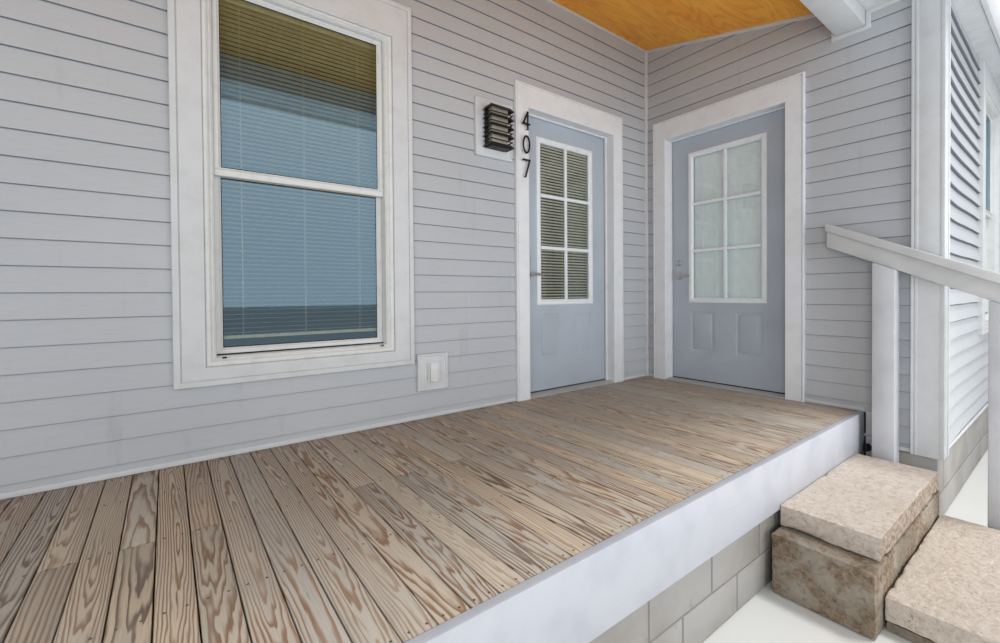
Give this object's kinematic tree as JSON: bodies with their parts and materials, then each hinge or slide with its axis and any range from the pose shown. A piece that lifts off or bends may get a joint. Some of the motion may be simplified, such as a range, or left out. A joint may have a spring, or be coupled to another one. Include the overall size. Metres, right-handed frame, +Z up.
{
  "type": "front porch",
  "caption": "Front porch in the corner of a house: timber deck under a sloping roof, glazed entry doors, sash windows, stone steps and a handrail.",
  "frame": {"origin": "bottom centre of the whole part's bounding box, on the ground", "axes": "+Z up; +X along the back wall, from the open end of the porch to the inside corner and on to the front wall's end; +Y into the house, so the steps lie towards -Y"},
  "size_m": [7.84, 2.488, 3.7415],
  "materials": {
    "deck_timber": "weathered pressure-treated pine boards",
    "framing_timber": "plain sawn pine",
    "white_trim": "coated aluminium and painted board, low sheen",
    "painted_block": "painted concrete block with worn patches",
    "siding": "pale grey lavender vinyl siding",
    "vinyl_frame": "white vinyl",
    "glass": "clear pane",
    "blind": "off-white slats",
    "ceiling_ply": "orange pine ply, clear finish",
    "roof_cover": "dark mineral shingles",
    "step_stone": "sandy concrete, rough faces",
    "rail_paint": "white coat over timber",
    "door_paint": "mid grey paint over steel",
    "satin_nickel": "satin nickel, lightly brushed",
    "hinge_steel": "satin",
    "black_metal": "satin black"
  },
  "bodies": {
    "house": {"deck_floor": "deck_timber", "deck_fascia": "white_trim", "deck_joists": "framing_timber", "deck_foundation": "painted_block", "house_foundation": "painted_block", "floor_framing": "framing_timber", "room_floor": "framing_timber", "wall_back": "siding", "wall_back_over_door": "siding", "wall_corner": "siding", "wall_side_over_door": "siding", "wall_side": "siding", "wall_front": "siding", "wall_end": "siding", "wall_trim": "white_trim", "base_strips": "white_trim", "window_casings": "white_trim", "window_frames": "vinyl_frame", "window_glass": "glass", "window_blinds": "blind", "back_door_frame": "white_trim", "back_door_hinges": "hinge_steel", "side_door_frame": "white_trim", "side_door_hinges": "hinge_steel", "ceiling": "ceiling_ply", "beam": "white_trim", "porch_post": "white_trim", "roof": "roof_cover", "eave_soffit": "white_trim", "eave_boards": "white_trim", "step_upper": "step_stone", "step_lower": "step_stone", "step_risers": "step_stone", "handrail": "rail_paint", "handrail_posts": "rail_paint", "siding_blocks": "white_trim", "wall_light": "black_metal"},
    "back_door_leaf": {"back_door": "door_paint", "back_door_lite": "vinyl_frame", "back_door_glass": "glass", "back_door_lock": "satin_nickel"},
    "back_door_handle": {"back_door_lever": "satin_nickel"},
    "side_door_leaf": {"side_door": "door_paint", "side_door_lite": "vinyl_frame", "side_door_glass": "glass", "side_door_lock": "satin_nickel"},
    "side_door_handle": {"side_door_lever": "satin_nickel"}
  },
  "joints": [
    {"name": "back_door_hinge", "type": "hinge", "parent": "house", "child": "back_door_leaf", "pos_m": [0.4645, 1.177, 1.58], "axis": [0, 0, -1], "range_deg": [0, 100]},
    {"name": "back_door_handle", "type": "hinge", "parent": "back_door_leaf", "child": "back_door_handle", "pos_m": [-0.39, 1.144, 1.469], "axis": [0, 1, 0], "range_deg": [0, 45], "stiffness_Nm_per_rad": 1.2, "springref_deg": -25.78},
    {"name": "side_door_hinge", "type": "hinge", "parent": "house", "child": "side_door_leaf", "pos_m": [1.073, -0.0785, 1.58], "axis": [0, 0, -1], "range_deg": [0, 100]},
    {"name": "side_door_handle", "type": "hinge", "parent": "side_door_leaf", "child": "side_door_handle", "pos_m": [1.04, 0.776, 1.469], "axis": [1, 0, 0], "range_deg": [0, 45], "stiffness_Nm_per_rad": 1.2, "springref_deg": -25.78}
  ]
}
